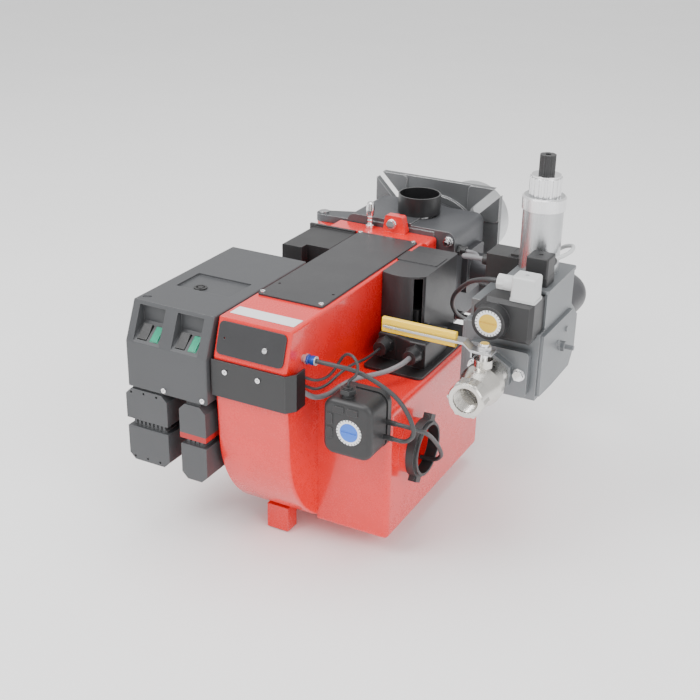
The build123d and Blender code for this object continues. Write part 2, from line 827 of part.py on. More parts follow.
# ================================================================ burner, swings on the hinge
back_y = joint_y - gasket_t
rear_front_y = back_y - rear_depth


def housing_outline(inset):
    """Side outline of the fan housing: straight duct on top, scroll below."""
    radius = scroll_r - inset
    with BuildSketch(Plane.XY) as outline:
        with BuildLine():
            Polyline(
                (back_y, duct_bottom + inset), (back_y, housing_top - inset),
                (housing_front_y + inset, housing_top - inset), (slant_y + 2.5 + inset, slant_z),
                (scroll_y - radius, scroll_z),
            )
            CenterArc((scroll_y, scroll_z), radius, 180, 90)
            ThreePointArc(
                (scroll_y, scroll_z - radius), (scroll_y + 0.62 * radius, scroll_z - 0.74 * radius),
                (throat_y + 22 - inset, scroll_z - 0.22 * radius),
            )
            Polyline(
                (throat_y + 22 - inset, scroll_z - 0.22 * radius),
                (throat_y + 30, duct_bottom + inset), (back_y, duct_bottom + inset),
            )
        make_face()
    return outline.sketch


with BuildPart() as fan_housing:
    with BuildSketch(side_plane(-housing_half)):
        add(housing_outline(0))
    extrude(amount=2 * housing_half)
    outer_edges = edges().filter_by(lambda e: abs(abs(e.center().X) - housing_half) < 0.01)
    long_edges = outer_edges.filter_by(lambda e: e.length > 30 and e.center().Y < back_y - 1)
    fillet(long_edges, 4)
    # wide rear frame that mates with the neck
    with BuildSketch(front_plane(back_y)):
        with Locations(((rear_left + rear_right) / 2, (housing_top + duct_bottom) / 2)):
            RectangleRounded(rear_right - rear_left, housing_top - duct_bottom, 5)
    extrude(amount=rear_depth)
    # hollow inside
    with BuildSketch(side_plane(-housing_half + wall)):
        add(housing_outline(wall))
    extrude(amount=2 * (housing_half - wall), mode=Mode.SUBTRACT)
    with BuildSketch(front_plane(back_y)):
        with Locations((0, (housing_top + duct_bottom) / 2)):
            Rectangle(2 * (housing_half - wall), housing_top - duct_bottom - 2 * wall)
    extrude(amount=rear_depth, mode=Mode.SUBTRACT)
    # pocket that lightens the wide left end of the rear frame
    with BuildSketch(front_plane(rear_front_y)):
        with Locations(((rear_left - housing_half) / 2, (housing_top + duct_bottom) / 2)):
            Rectangle(-housing_half - rear_left - 2 * wall, housing_top - duct_bottom - 2 * wall)
    extrude(amount=-(rear_depth - wall), mode=Mode.SUBTRACT)
    # fan inlet with its lip on the right, shaft hole on the left
    with Locations(Location((housing_half + inlet_lip / 2, fan_axis_y, fan_axis_z), (0, 90, 0))):
        Cylinder(inlet_r + 3, inlet_lip)
    with Locations(Location((housing_half, fan_axis_y, fan_axis_z), (0, 90, 0))):
        Cylinder(inlet_r, 3 * wall + 2 * inlet_lip, mode=Mode.SUBTRACT)
    with Locations(Location((-housing_half, fan_axis_y, fan_axis_z), (0, 90, 0))):
        Cylinder(shaft_r + 4, 3 * wall, mode=Mode.SUBTRACT)
    # hinge knuckles
    for arm_top in (hinge_top, hinge_lower_top):
        knuckle_top = arm_top - hinge_arm_t - touch
        with BuildSketch(Plane.XY.offset(knuckle_top - hinge_knuckle_h)):
            with BuildLine():
                Polyline(
                    (hinge_x - 9, hinge_y - 6), (rear_left + 1, back_y - 16),
                    (rear_left + 1, back_y - 1), (hinge_x + 8, hinge_y + 6), close=True,
                )
            make_face()
            with Locations((hinge_x, hinge_y)):
                Circle(hinge_eye_r - 1)
        extrude(amount=hinge_knuckle_h)
    with Locations((hinge_x, hinge_y, 0)):
        Cylinder(hinge_pin_r + shaft_clearance, 200, mode=Mode.SUBTRACT)
    # ear for the closing bolt
    with BuildSketch(Plane.XZ.offset(-(back_y))):
        with BuildLine():
            Polyline((-24, housing_top - 1), (16, housing_top - 1), (9, 90), (-20, 90), close=True)
        make_face()
        fillet(vertices().group_by(Axis.Z)[-1], 4)
    extrude(amount=14)
    with Locations(Location((-8, back_y - 7, 77), (90, 0, 0))):
        Cylinder(4.2, 14, mode=Mode.SUBTRACT)
    # foot under the scroll
    with Locations((-6, foot_y, foot_bottom)):
        Box(34, 24, scroll_z - foot_bottom - 0.86 * scroll_r, align=(Align.CENTER, Align.CENTER, Align.MIN))
    # probe hole and oval window in the right wall, guide of the locking plunger
    with Locations(Location((housing_half, -530, 22), (0, 90, 0))):
        Cylinder(1.2, 3 * wall, mode=Mode.SUBTRACT)
    with Locations((plunger_x, plunger_y, housing_top)):
        Cylinder(plunger_r + shaft_clearance, 40, mode=Mode.SUBTRACT)
save(fan_housing, "fan_housing")

# ---------------------------------------------------------------- lid on top of the housing
with BuildPart() as housing_lid:
    with BuildSketch(Plane.XY.offset(housing_top)):
        with Locations((0, (lid_front_y + lid_rear_y) / 2)):
            RectangleRounded(2 * lid_half, lid_rear_y - lid_front_y, 4)
        with Locations((-lid_half + 8, lid_front_y + 45), (lid_half - 8, lid_front_y + 45)):
            Circle(2.2, mode=Mode.SUBTRACT)
    extrude(amount=lid_t)
    fillet(edges().group_by(Axis.Z)[-1].filter_by(lambda e: e.length > 20), 1)
save(housing_lid, "housing_lid")

# ---------------------------------------------------------------- cover plate on the slanted front
slant_angle = math.degrees(math.atan2(slant_y + 2.5 - housing_front_y, slant_z - housing_top))
slant_dir = Vector(0, slant_y + 2.5 - housing_front_y, slant_z - housing_top).normalized()
slant_mid = Vector(0, (slant_y + 2.5 + housing_front_y) / 2, (slant_z + housing_top) / 2)
slant_plane = Plane(origin=slant_mid, x_dir=(1, 0, 0), z_dir=Vector(1, 0, 0).cross(slant_dir * -1) * 1)
plate_w = 100
plate_h = 44
with BuildPart() as front_plate:
    with BuildSketch(slant_plane):
        RectangleRounded(plate_w, plate_h, 7)
        with Locations((22, -4)):
            Circle(2.2, mode=Mode.SUBTRACT)
        with Locations((-40, 0)):
            Circle(1.4, mode=Mode.SUBTRACT)
    extrude(amount=2.5)
save(front_plate, "front_plate")

# ---------------------------------------------------------------- cable bracket wrapped round the front
with BuildPart() as cable_bracket:
    bracket_top = slant_z - 3
    front_at_bracket = slant_y + 2.5
    with BuildSketch(Plane.XY.offset(bracket_bottom)):
        with BuildLine():
            Polyline(
                (-housing_half - 1, slant_y - 1), (housing_half + 1, slant_y - 1),
                (bracket_x + bracket_t, slant_y + 12), (bracket_x + bracket_t, slant_y + bracket_side),
                (bracket_x, slant_y + bracket_side), (bracket_x, slant_y + 13),
                (housing_half, slant_y + bracket_t - 1), (-housing_half - 1, slant_y + bracket_t - 1),
                close=True,
            )
        make_face()
    extrude(amount=bracket_top - bracket_bottom)
    # flanges that seat the channel on the housing's front
    with Locations((0, slant_y + 1.5 + touch, bracket_bottom + 1.25), (0, slant_y + 1.5, bracket_top - 1.25)):
        Box(2 * housing_half - 6, 1.4, 2.5)
save(cable_bracket, "cable_bracket")

# ---------------------------------------------------------------- intake box on the right
box_left = housing_half
with BuildPart() as intake_box:
    with Locations(((box_left + box_right) / 2, (box_front_y + box_rear_y) / 2, (box_top + box_bottom) / 2)):
        Box(box_right - box_left, box_rear_y - box_front_y, box_top - box_bottom)
    fillet(edges().filter_by(lambda e: e.center().X > box_left + 1), box_fillet)
    with Locations(((box_left + box_right - wall) / 2, (box_front_y + box_rear_y) / 2, (box_top + box_bottom) / 2)):
        Box(
            box_right - box_left - wall, box_rear_y - box_front_y - 2 * wall,
            box_top - box_bottom - 2 * wall, mode=Mode.SUBTRACT,
        )
    # stub for the clamp ring around the air mouth
    with BuildSketch(side_plane(box_right)):
        with Locations((mouth_y, mouth_z)):
            Circle(mouth_r + mouth_wall + 2)
    extrude(amount=mouth_reach - ring_w)
    with BuildSketch(side_plane(box_right - wall - 1)):
        with Locations((mouth_y, mouth_z)):
            Circle(mouth_r + touch)
    extrude(amount=mouth_reach + wall + 2, mode=Mode.SUBTRACT)
    # bearings of the damper shaft
    with Locations((damper_x, damper_y, box_top)):
        Cylinder(damper_shaft_r + shaft_clearance, 3 * wall, mode=Mode.SUBTRACT)
save(intake_box, "intake_box")

# ---------------------------------------------------------------- clamp ring and mouth sleeve
ring_left = box_right + mouth_reach - ring_w
with BuildPart() as clamp_ring:
    with BuildSketch(side_plane(ring_left)):
        with Locations((mouth_y, mouth_z)):
            Circle(ring_r)
            with PolarLocations(ring_r + 1, 2, start_angle=62, angular_range=360):
                Rectangle(12, 16)
            Circle(mouth_r + mouth_wall + touch, mode=Mode.SUBTRACT)
    extrude(amount=ring_w - 4)
    for turn in (62, 242):
        across = math.radians(turn)
        with Locations(Location(
            (ring_left + 6, mouth_y + (ring_r + 2) * math.cos(across), mouth_z + (ring_r + 2) * math.sin(across)),
            (turn, 0, 0),
        )):
            Cylinder(3, 18)
    with BuildSketch(side_plane(ring_left)):
        with Locations((mouth_y, mouth_z)):
            Circle(mouth_r + mouth_wall + 1)
            Circle(mouth_r, mode=Mode.SUBTRACT)
    extrude(amount=ring_w)
save(clamp_ring, "clamp_ring")

# ---------------------------------------------------------------- air damper flap
damper_plane_x = housing_half + inlet_lip + touch
with BuildPart() as air_damper:
    with Locations((damper_plane_x + 1, (damper_y + damper_tip_y) / 2, fan_axis_z)):
        Box(2, damper_y - damper_tip_y, damper_h)
    fillet(edges().filter_by(Axis.X).group_by(Axis.Y)[0], 20)
    with Locations((damper_x, damper_y, (shaft_low + box_top + base_plate_t - touch) / 2)):
        Cylinder(damper_shaft_r, box_top + base_plate_t - touch - shaft_low)
save(air_damper, "air_damper")

# ---------------------------------------------------------------- servo cover
servo_y_room = 122
servo_w = 44
servo_l = 54
servo_h = 60
with BuildPart() as servo_cover:
    with BuildSketch(Plane.XY.offset(box_top + base_plate_t)):
        with BuildLine():
            Polyline(
                (housing_half + touch, cover_front_y + 4), (housing_half + touch, cover_rear_y),
                (cover_right, cover_rear_y), (cover_right, cover_front_y + 14),
            )
            ThreePointArc(
                (cover_right, cover_front_y + 14),
                ((housing_half + cover_right) / 2 + 4, cover_front_y - 1),
                (housing_half + touch, cover_front_y + 4),
            )
        make_face()
    extrude(amount=housing_top - box_top - base_plate_t)
    fillet(edges().filter_by(Axis.Z).filter_by(lambda e: e.center().X > housing_half + 5), 4)
    # raised shelf that laps over the lid's edge
    with BuildSketch(Plane.XY.offset(housing_top)):
        with Locations(((housing_half + cover_right) / 2 - 4, (cover_front_y + cover_rear_y) / 2 + 14)):
            RectangleRounded(cover_right - housing_half + 0, 40, 3)
    extrude(amount=1.2)
    with BuildSketch(Plane.XY.offset(box_top + base_plate_t)):
        with Locations((housing_half + 4, cover_rear_y - wall)):
            Rectangle(cover_right - housing_half - 4 - wall, servo_y_room, align=(Align.MIN, Align.MAX))
    extrude(amount=housing_top - box_top - base_plate_t - wall, mode=Mode.SUBTRACT)
save(servo_cover, "servo_cover")

# ---------------------------------------------------------------- base plate with gland block
with BuildPart() as gland_box:
    with BuildSketch(Plane.XY.offset(box_top)):
        with Locations(((base_left + base_right) / 2, (base_front_y + cover_rear_y) / 2)):
            RectangleRounded(base_right - base_left, cover_rear_y - base_front_y, 8)
        with Locations((damper_x, damper_y)):
            Circle(damper_shaft_r + shaft_clearance, mode=Mode.SUBTRACT)
    extrude(amount=base_plate_t)
    with BuildSketch(Plane.XY.offset(box_top + base_plate_t)):
        with BuildLine():
            Polyline(
                (base_left + 6, cover_front_y - 6), (base_left + 6, gland_box_front_y),
                (gland_1_x + 16, gland_box_front_y), (gland_2_x - 10, gland_box_front_y - 8),
                (base_right - 8, gland_box_front_y - 8), (base_right - 8, cover_front_y + 30),
                (cover_right + 2, cover_front_y + 30), (cover_right + 2, cover_front_y - 6), close=True,
            )
        make_face()
    extrude(amount=gland_box_h - base_plate_t)
    fillet(edges().group_by(Axis.Z)[-1], 3)
    # damper servomotor on the same plate, under the cover
    with BuildSketch(Plane.XY.offset(box_top + base_plate_t)):
        with Locations((base_left + 23, damper_y + 14)):
            RectangleRounded(servo_w, servo_l, 4)
    extrude(amount=servo_h)
save(gland_box, "gland_box")

burner_gland_z = box_top + 26
with BuildPart() as cable_glands:
    for x, face_y, bore_r in (
        (gland_1_x, gland_box_front_y, lead_r + touch), (gland_2_x, gland_box_front_y - 8, supply_r + touch),
    ):
        with BuildSketch(Plane(origin=(x, face_y, burner_gland_z), z_dir=(0, -1, 0))):
            RegularPolygon(gland_r + 1, 6)
        extrude(amount=7)
        with BuildSketch(Plane(origin=(x, face_y - 7, burner_gland_z), z_dir=(0, -1, 0))):
            Circle(gland_r)
        extrude(amount=14, taper=8)
        with Locations(Location((x, face_y - 14, burner_gland_z), (90, 0, 0))):
            Cylinder(bore_r, 16, mode=Mode.SUBTRACT)
save(cable_glands, "cable_glands")

# ---------------------------------------------------------------- air pressure switch
air_sw_rear_y = box_front_y - 4
rim_t = 10
with BuildPart() as air_switch:
    with BuildSketch(front_plane(box_front_y)):
        with Locations((air_sw_x, (box_top + air_sw_z - air_sw_h / 2) / 2)):
            Rectangle(34, 26)
    extrude(amount=4)
    with BuildSketch(front_plane(air_sw_rear_y)):
        with Locations((air_sw_x, air_sw_z)):
            RectangleRounded(air_sw_w + 2, air_sw_h + 2, 16)
    extrude(amount=rim_t)
    with BuildSketch(front_plane(air_sw_rear_y - rim_t)):
        with Locations((air_sw_x, air_sw_z)):
            RectangleRounded(air_sw_w - 3, air_sw_h - 3, 15)
    extrude(amount=4)
    with BuildSketch(front_plane(air_sw_rear_y - rim_t - 4)):
        with Locations((air_sw_x, air_sw_z)):
            RectangleRounded(air_sw_w, air_sw_h, 15)
    extrude(amount=air_sw_rear_y - rim_t - 4 - air_sw_front_y)
    fillet(edges().group_by(Axis.Y)[0], 7)
    # window well for the setting dial
    with BuildSketch(front_plane(air_sw_front_y)):
        with Locations((air_sw_x + 3, air_sw_z - 3)):
            Circle(air_dial_r + touch)
    extrude(amount=-4, mode=Mode.SUBTRACT)
    # raised pads round the face
    with BuildSketch(front_plane(air_sw_front_y)):
        with Locations(
            (air_sw_x - 12, air_sw_z + 27), (air_sw_x + 8, air_sw_z + 27),
        ):
            RectangleRounded(15, 9, 1.5)
        with Locations((air_sw_x - 25, air_sw_z + 12), (air_sw_x - 25, air_sw_z - 8)):
            RectangleRounded(9, 15, 1.5)
    extrude(amount=1.4)
    # two hose barbs on the right
    for z, y in ((barb_high_z, barb_y), (barb_low_z, barb_low_y)):
        with Locations(Location((air_sw_x + air_sw_w / 2 - 2, y, z), (0, 90, 0))):
            Cylinder(3.6, 16, align=(Align.CENTER, Align.CENTER, Align.MIN))
    # cable gland on top
    gland_base_z = air_sw_z + air_sw_h / 2
    with Locations((switch_gland_x, switch_gland_y, gland_base_z + 2.5)):
        Cylinder(8.5, 5)
    with BuildSketch(Plane.XY.offset(gland_base_z + 5)):
        with Locations((switch_gland_x, switch_gland_y)):
            RegularPolygon(10, 6, major_radius=False)
    extrude(amount=6)
    with Locations((switch_gland_x, switch_gland_y, gland_base_z + 12)):
        Cylinder(6.5, 3)
    with Locations((switch_gland_x, switch_gland_y, gland_base_z + 11)):
        Cylinder(lead_r + touch, 6, mode=Mode.SUBTRACT)
save(air_switch, "air_switch")

with BuildPart() as air_dial:
    with BuildSketch(front_plane(air_sw_front_y + 3.5)):
        with Locations((air_sw_x + 3, air_sw_z - 3)):
            Circle(air_dial_r)
    extrude(amount=3)
    with BuildSketch(front_plane(air_sw_front_y + 0.5)):
        with Locations((air_sw_x + 3, air_sw_z - 3)):
            SlotOverall(2 * air_dial_r - 14, 2.4)
    extrude(amount=-1, mode=Mode.SUBTRACT)
save(air_dial, "air_dial")

# ---------------------------------------------------------------- pressure tapping on the housing
tap_y = -547
tap_z = 17
with BuildPart() as pressure_fitting:
    with BuildSketch(side_plane(housing_half)):
        with Locations((tap_y, tap_z)):
            Circle(5)
    extrude(amount=8)
    with BuildSketch(side_plane(housing_half + 4)):
        with Locations((tap_y, tap_z)):
            RegularPolygon(7, 6)
    extrude(amount=5)
    with BuildSketch(side_plane(housing_half + 9)):
        with Locations((tap_y, tap_z)):
            Circle(5.5)
            Circle(hose_r + touch, mode=Mode.SUBTRACT)
    extrude(amount=4)
    with BuildSketch(side_plane(housing_half + 13)):
        with Locations((tap_y, tap_z)):
            Circle(6.4)
            Circle(hose_r + touch, mode=Mode.SUBTRACT)
    extrude(amount=7)
save(pressure_fitting, "pressure_fitting")


# ---------------------------------------------------------------- hoses and leads
def corner_radii(points):
    """Arc radius at each inner point: 0.45 of the shorter run over the tangent of half the turn."""
    radii = []
    for before, here, after in zip(points, points[1:], points[2:]):
        run_in = Vector(*here) - Vector(*before)
        run_out = Vector(*after) - Vector(*here)
        half_turn = math.radians(run_in.get_angle(run_out)) / 2
        radii.append(0.45 * min(run_in.length, run_out.length) / math.tan(half_turn))
    return radii


def held_tube(name, points, radius):
    """Tube of a held cable or hose: straight runs joined by tangent arcs."""
    radii = corner_radii(points)
    with BuildPart() as tube:
        with BuildLine() as path:
            FilletPolyline(*points, radius=radii)
        start = Vector(*points[0])
        with BuildSketch(Plane(origin=start, z_dir=Vector(*points[1]) - start)):
            Circle(radius)
        sweep(path=path.wires()[0])
    length = path.wires()[0].length
    ratio = tube.part.volume / (math.pi * radius**2 * length)
    print(f"{name}: length {length:.0f}, volume ratio {ratio:.4f}, radii {[round(r, 1) for r in radii]}")
    save(tube, name)
    return tube


gland_1_end_y = gland_box_front_y - 21
gland_2_end_y = gland_1_end_y - 8
lead_y = slant_y + bracket_side - 6
lead_x = bracket_x - 4.6
gland_mouth_z = gland_base_z + 14
switch_lead = held_tube("switch_lead", [
    (lead_x, lead_y, 2), (60.5, -551, -8), (71, -542, -14), (84, -536.5, -9), (93, -534, 2),
    (100, -533.5, 15), (107, -535, 27), (114.5, -537.5, 33), (126.5, -543, 34), (135, -547, 25.5),
    (134, -548.5, 12), (switch_gland_x, switch_gland_y, 0.5),
    (switch_gland_x, switch_gland_y, gland_base_z + 8.3),
], lead_r)
servo_lead = held_tube("servo_lead", [
    (lead_x, lead_y, -8), (60.5, -551, -20), (70, -540, -28), (80, -527, -24),
    (87, -508, -14), (92, -485, -10), (92, -460, -15), (88, -435, -22), (gland_1_x, -408, burner_gland_z),
    (gland_1_x, gland_1_end_y + 14, burner_gland_z),
], lead_r)
motor_lead = held_tube("motor_lead", [
    (lead_x + 0.5, lead_y, -17), (59.4, -550, -31), (68, -537, -42), (79, -521, -41), (88, -500, -33),
    (98, -478, -30), (109, -455, -33), (122, -434, -33), (gland_2_x, -413, burner_gland_z),
    (gland_2_x, gland_2_end_y + 14, burner_gland_z),
], supply_r)
barb_end_x = air_sw_x + air_sw_w / 2 + 14 + touch
sleeve_rest = mouth_r - hose_r - 0.1
rest_turn = math.radians(34)
rest_y = mouth_y + sleeve_rest * math.sin(rest_turn)
rest_z = mouth_z - sleeve_rest * math.cos(rest_turn)
pressure_hose = held_tube("pressure_hose", [
    (housing_half + 9 + touch, tap_y, tap_z), (84, tap_y, tap_z), (102, -545.5, 16.5), (120, -542, 14.5),
    (137, -539.5, 11), (153, -538.5, 5), (169, -538, -2), (184, -537, -11), (196, -536, -24),
    (206, -535, -41), (210, -532, -62), (197, barb_low_y, barb_low_z), (barb_end_x, barb_low_y, barb_low_z),
], hose_r)
reference_hose = held_tube("reference_hose", [
    (barb_end_x, barb_y, barb_high_z), (195, barb_y, barb_high_z), (207, -513, -64), (212, -498, -74),
    (212, -481, -88), (211, -464, -104), (210, -447, -121), (207, -430, -142),
    (194, rest_y, rest_z), (172, rest_y, rest_z),
], hose_r)
switch_cable = held_tube("switch_cable", [
    (plug_x - plug_w / 2 - 10.5, plug_y, grey_gland_z), (252, plug_y, grey_gland_z), (226, -408, 111),
    (200, -379, 87), (175, -343, 58), (157, -303, 26), (149, -265, -3), (148, -233, -22),
    (147, -204, -40), (144, -178, -55), (136, -152, -63), (119, neck_gland_y, low_gland_z),
    (neck_right + 2 + touch, neck_gland_y, low_gland_z),
], cable_r)
valve_cable = held_tube("valve_cable", [
    (term_left - touch, term_front_y + 24, term_gland_z), (180, term_front_y + 24, term_gland_z),
    (159, -273, 89), (147, -245, 80), (142, -216, 70), (141, -188, 60), (137, -161, 50),
    (120, neck_gland_y, high_gland_z), (neck_right + 2 + touch, neck_gland_y, high_gland_z),
], cable_r)
brake_entry_y = term_rear_y - 5.5
brake_cable = held_tube("brake_cable", [
    (din_x + 8, din_y + din_w / 2 + 1, brake_gland_z), (din_x + 8, -337, brake_gland_z),
    (321, -323, 137), (325, -307, 140), (320, -291, 140), (305, -278, 133), (288, -274.5, 120),
    (270, brake_entry_y, 101), (term_right - 5, brake_entry_y, 101),
], brake_cable_r)

# ---------------------------------------------------------------- control cabinet
pocket_w = 42
pocket_lefts = (-176, -115)
floor_front = Vector(0, -601, 9)
floor_rear = Vector(0, -573, 31)
floor_dir = (floor_rear - floor_front).normalized()
floor_up = Vector(0, -floor_dir.Z, floor_dir.Y)
pocket_top = 56
rocker_w = 15
rocker_l = 24
rocker_depth = 6
lamp_w = 13


def pocket_floor(x):
    """Plane on a switch pocket's sloped floor, centred at x; local y runs up the slope."""
    middle = (floor_front + floor_rear) * 0.5
    return Plane(origin=(x, middle.Y, middle.Z), x_dir=(1, 0, 0), z_dir=floor_up)


with BuildPart() as cabinet:
    with BuildSketch(side_plane(cab_left)):
        with BuildLine():
            Polyline(
                (cab_front_y, cab_top), (cab_slant_y, cab_slant_z), (cab_slant_y, cab_bottom),
                (cab_rear_y, cab_bottom), (cab_rear_y, cab_top), close=True,
            )
        make_face()
    extrude(amount=cab_right - cab_left)
    cab_edges = edges().filter_by(lambda e: abs(e.center().X - (cab_left + cab_right) / 2) > 30)
    fillet(cab_edges, 2.5)
    # hollow behind the switch panel
    with Locations(((cab_left + cab_right) / 2, (cab_rear_y - 562) / 2, (cab_top + cab_bottom) / 2)):
        Box(cab_right - cab_left - 2 * wall, 562 + cab_rear_y - 2 * wall, cab_top - cab_bottom - 2 * wall - 6,
            mode=Mode.SUBTRACT)
    for left in pocket_lefts:
        with BuildSketch(side_plane(left)):
            with BuildLine():
                Polyline(
                    (floor_front.Y, floor_front.Z), (floor_rear.Y, floor_rear.Z),
                    (floor_rear.Y, pocket_top), (cab_slant_y - 12, pocket_top),
                    (cab_slant_y - 12, floor_front.Z), close=True,
                )
            make_face()
        extrude(amount=pocket_w, mode=Mode.SUBTRACT)
        # wells for the rocker and the lamp
        with BuildSketch(pocket_floor(left + 12)):
            Rectangle(rocker_w + 2 * touch, rocker_l + 2 * touch)
        extrude(amount=-rocker_depth, mode=Mode.SUBTRACT)
        with BuildSketch(pocket_floor(left + 31)):
            Rectangle(lamp_w + 2 * touch, rocker_l + 2 * touch)
        extrude(amount=-3, mode=Mode.SUBTRACT)
    # square recess with the reset button's well, thumb notch
    with BuildSketch(Plane.XY.offset(cab_top)):
        with Locations((-123, -483)):
            RectangleRounded(88, 56, 2)
    extrude(amount=-3, mode=Mode.SUBTRACT)
    with Locations((reset_x, reset_y, cab_top)):
        Cylinder(reset_r + touch, 19, mode=Mode.SUBTRACT)
    with BuildSketch(Plane.XY.offset(cab_top)):
        with Locations((-176, -564)):
            SlotOverall(13, 7, rotation=30)
    extrude(amount=-1.5, mode=Mode.SUBTRACT)
    # bosses that carry the cabinet on the fan housing's side
    for y, z in ((-560, -30), (-380, 30)):
        with Locations(Location((cab_right + (-housing_half - cab_right) / 2, y, z), (0, 90, 0))):
            Cylinder(8, -housing_half - cab_right)
save(cabinet, "cabinet")

for name, left in (("rocker_left", pocket_lefts[0]), ("rocker_right", pocket_lefts[1])):
    with BuildPart() as rocker:
        with BuildSketch(Plane(origin=pocket_floor(left + 12).origin, x_dir=floor_dir, z_dir=(1, 0, 0))):
            with BuildLine():
                Polyline(
                    (-rocker_l / 2 + 0.6, 0.8), (0, -1.2 + 2.6), (rocker_l / 2 - 0.6, 4.2),
                    (rocker_l / 2 - 2.5, -1.2), (3, -4.4), (-3, -4.4), (-rocker_l / 2 + 2.5, -3.4),
                    close=True,
                )
            make_face()
        extrude(amount=rocker_w / 2 - touch, both=True)
    save(rocker, name)

with BuildPart() as indicator_lamps:
    for left in pocket_lefts:
        with BuildSketch(pocket_floor(left + 31)):
            Rectangle(lamp_w, rocker_l)
        extrude(amount=-3 + touch / 3)
        with BuildSketch(pocket_floor(left + 31)):
            Rectangle(lamp_w - 2, rocker_l - 2)
        extrude(amount=1.6)
save(indicator_lamps, "indicator_lamps")

with BuildPart() as reset_button:
    with Locations((reset_x, reset_y, cab_top - 3.5)):
        Cylinder(reset_r, 5)
    with Locations((reset_x, reset_y, cab_top - 1)):
        Cylinder(reset_r - 2.5, 3, mode=Mode.SUBTRACT)
    with Locations((reset_x, reset_y, cab_top - 2)):
        Cylinder(reset_r - 5, 2)
save(reset_button, "reset_button")

# ---------------------------------------------------------------- plug-in connectors under the cabinet
tongue_h = 9
plug_inset = 5


def connector_front(left, right, bottom, top, cut_top, cut_bottom):
    """Front outline of a connector shell with chamfered upper or lower corners."""
    with BuildSketch(front_plane(plug_front_y)) as outline:
        with BuildLine():
            Polyline(
                (left, bottom + cut_bottom), (left + cut_bottom, bottom), (right - cut_bottom - 0.01, bottom),
                (right, bottom + cut_bottom), (right, top - cut_top), (right - cut_top, top),
                (left + cut_top + 0.01, top), (left, top - cut_top), close=True,
            )
        make_face()
    return outline.sketch


plugs = (
    ("seven_pole_plug", seven_left, seven_right, -62, -108, -120, -172, 8),
    ("four_pole_plug", four_left, four_right, -64, -116, -125, -178, 4),
)
with BuildPart() as plug_sockets:
    for name, left, right, top, socket_bottom, plug_high, plug_low, posts in plugs:
        centre = (left + right) / 2
        middle_y = plug_front_y + plug_depth / 2
        add(extrude(connector_front(left, right, socket_bottom, top, 9, 0.5), amount=-plug_depth))
        # neck under the cabinet's floor
        with Locations((centre, middle_y, (cab_bottom + top) / 2)):
            Box(right - left - 20, plug_depth - 8, cab_bottom - top)
        with Locations((centre, middle_y, socket_bottom + tongue_h / 2)):
            Box(
                right - left - 2 * plug_inset + 2 * touch, plug_depth - 2 * plug_inset + 2 * touch,
                tongue_h + touch, mode=Mode.SUBTRACT,
            )
    # screw holes along the top of the wide connector
    with BuildSketch(front_plane(plug_front_y)):
        with Locations(*[(seven_left + 9 + 21 * k, -66.5 - 1.2 * (k == 0)) for k in range(3)]):
            Circle(1.8)
    extrude(amount=-8, mode=Mode.SUBTRACT)
save(plug_sockets, "plug_sockets")

for name, left, right, top, socket_bottom, plug_high, plug_low, posts in plugs:
    centre = (left + right) / 2
    middle_y = plug_front_y + plug_depth / 2
    with BuildPart() as plug:
        add(extrude(connector_front(left + 1, right, plug_low, plug_high, 0.5, 9), amount=-plug_depth))
        fillet(edges().filter_by(Axis.X).group_by(Axis.Z)[-1].group_by(Axis.Y)[0], 1.5)
        # contact carrier with its row of contact housings, latch beside them
        with Locations((centre, middle_y, plug_high + 1.5)):
            Box(right - left - 2 * plug_inset - 2, plug_depth - 2 * plug_inset - 2, 3)
        pitch = (right - left - 2 * plug_inset - 4) / posts
        for k in range(posts):
            x = left + plug_inset + 2 + pitch * (k + 0.5)
            for row_y in (plug_front_y + plug_inset + 7, plug_front_y + plug_depth - plug_inset - 7):
                with Locations((x, row_y, (plug_high + socket_bottom + tongue_h - 1) / 2)):
                    Box(pitch - 2.4, 14, socket_bottom + tongue_h - 1 - plug_high)
        if posts > 4:
            with BuildSketch(front_plane(plug_front_y)):
                with Locations(*[(left + 10 + 21 * k, plug_low + 5) for k in range(3)]):
                    Circle(1.8)
            extrude(amount=-8, mode=Mode.SUBTRACT)
    save(plug, name)

# ---------------------------------------------------------------- fan motor under the cabinet
motor_flange_t = 4
with BuildPart() as fan_motor:
    with BuildSketch(Plane.XY):
        with BuildLine():
            Polyline(
                (0, motor_left), (motor_r - 10, motor_left), (motor_r - 3, motor_left + 7),
                (motor_r - 3, -housing_half - motor_flange_t), (motor_r + 5, -housing_half - motor_flange_t),
                (motor_r + 5, -housing_half), (0, -housing_half), close=True,
            )
        make_face()
    revolve(axis=Axis.Y)
    # cooling fins round the stator
    with BuildSketch(Plane.XZ.offset(-motor_left - 24)):
        Circle(motor_r - 4)
        with PolarLocations(motor_r - 3, 28):
            Rectangle(6, 2)
    extrude(amount=-70)
    with Locations(Location((0, -housing_half - 12, 0), (90, 0, 0))):
        Cylinder(shaft_r + shaft_clearance, 26, mode=Mode.SUBTRACT)
fan_motor.part.locate(Location((0, fan_axis_y, fan_axis_z), (0, 0, -90)))
save(fan_motor, "fan_motor")

